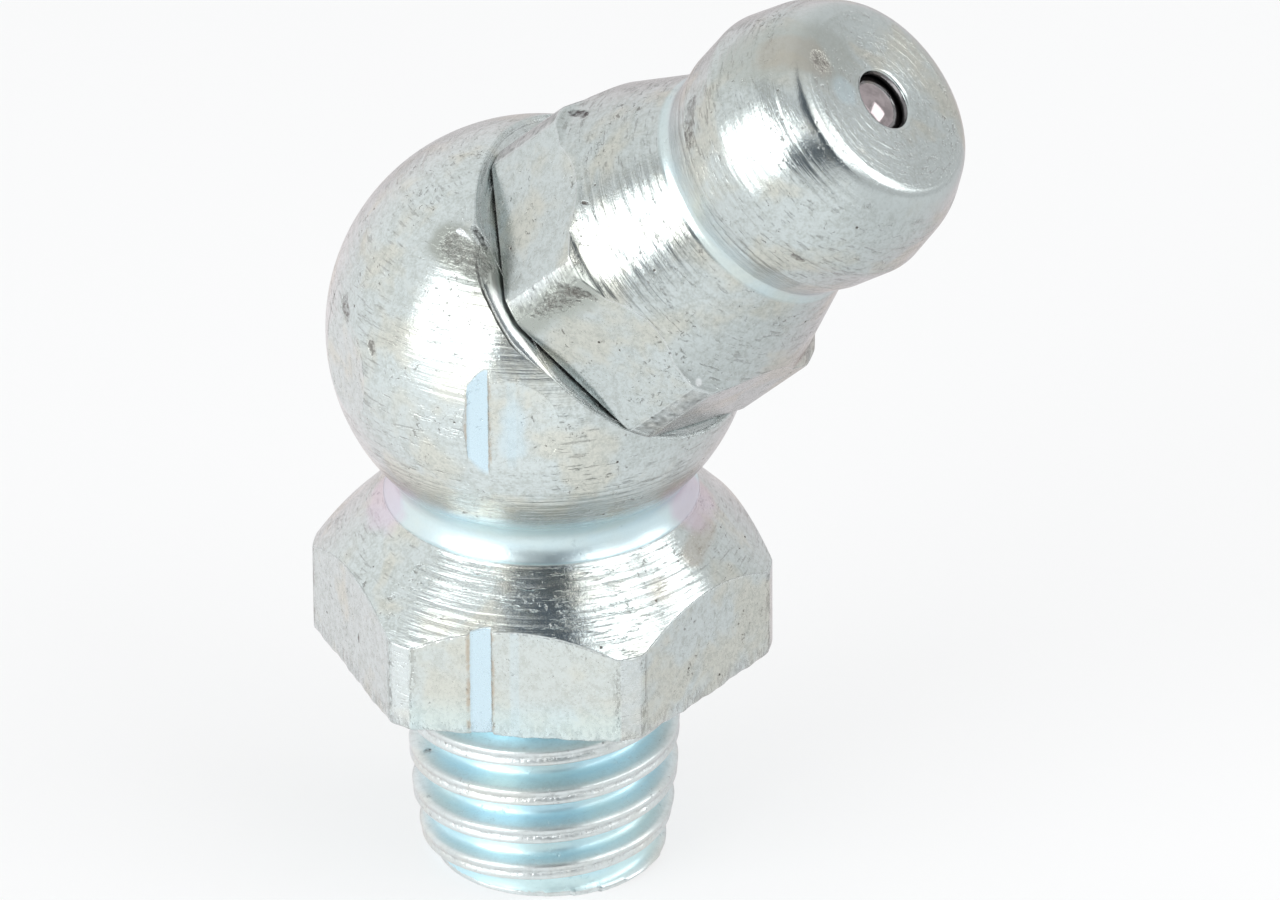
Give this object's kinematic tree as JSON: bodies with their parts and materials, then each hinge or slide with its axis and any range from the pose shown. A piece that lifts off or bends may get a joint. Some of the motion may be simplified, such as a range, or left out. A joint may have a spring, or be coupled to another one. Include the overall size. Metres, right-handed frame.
{
  "type": "angled grease nipple",
  "caption": "Angled grease nipple: a short tapered thread and hexagon with a ball on top, and a pressed-in nipple head whose spring-loaded ball valve lets grease in and closes by itself.",
  "frame": {"origin": "on the thread's axis, in the hexagon's seat face, where the nipple meets the part it is screwed into", "axes": "+Z along the thread's axis away from the thread, towards the ball; +X is the side that the nipple head leans to"},
  "size_m": [0.0146, 0.01, 0.022],
  "materials": {
    "body_zinc": "zinc-plated and blue-passivated turned steel, satin with fine turning marks and dull mottling",
    "head_zinc": "zinc-plated and blue-passivated hardened steel, satin with fine turning marks",
    "ball_steel": "polished bearing steel",
    "spring_steel": "plain drawn spring wire"
  },
  "bodies": {
    "fitting": {"elbow_body": "body_zinc", "nipple_head": "head_zinc", "check_spring": "spring_steel"},
    "ball": {"check_ball": "ball_steel"}
  },
  "joints": [
    {"name": "check_ball_slide", "type": "slide", "parent": "fitting", "child": "ball", "axis": [-0.7314, 0, -0.682], "range_m": [0, 0.0009], "stiffness_N_per_m": 500, "springref_m": -0.0006, "deforming": ["check_spring"]}
  ]
}
